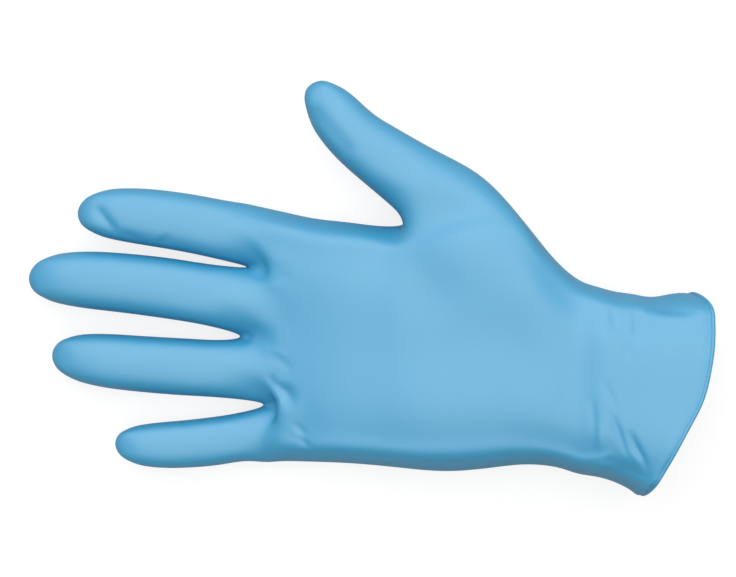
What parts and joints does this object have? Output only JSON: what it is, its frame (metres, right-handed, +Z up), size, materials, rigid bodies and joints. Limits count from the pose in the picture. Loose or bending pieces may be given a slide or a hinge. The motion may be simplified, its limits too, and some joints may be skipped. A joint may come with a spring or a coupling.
{
  "type": "nitrile exam glove",
  "caption": "Five-fingered disposable exam glove of thin blue nitrile film, open at a cuff with a rolled bead, lying palm up in the form of a hand.",
  "frame": {"origin": "on the surface that the glove lies on, under the middle of its bounding box", "axes": "+X from the fingers towards the cuff, +Y towards the thumb side, +Z up out of the palm"},
  "size_m": [0.2382, 0.1448, 0.0415],
  "materials": {
    "nitrile": "smooth thin nitrile film with a soft satin sheen, slack enough to dent and crease"
  },
  "bodies": {
    "root": {"glove_film": "nitrile"}
  },
  "joints": []
}
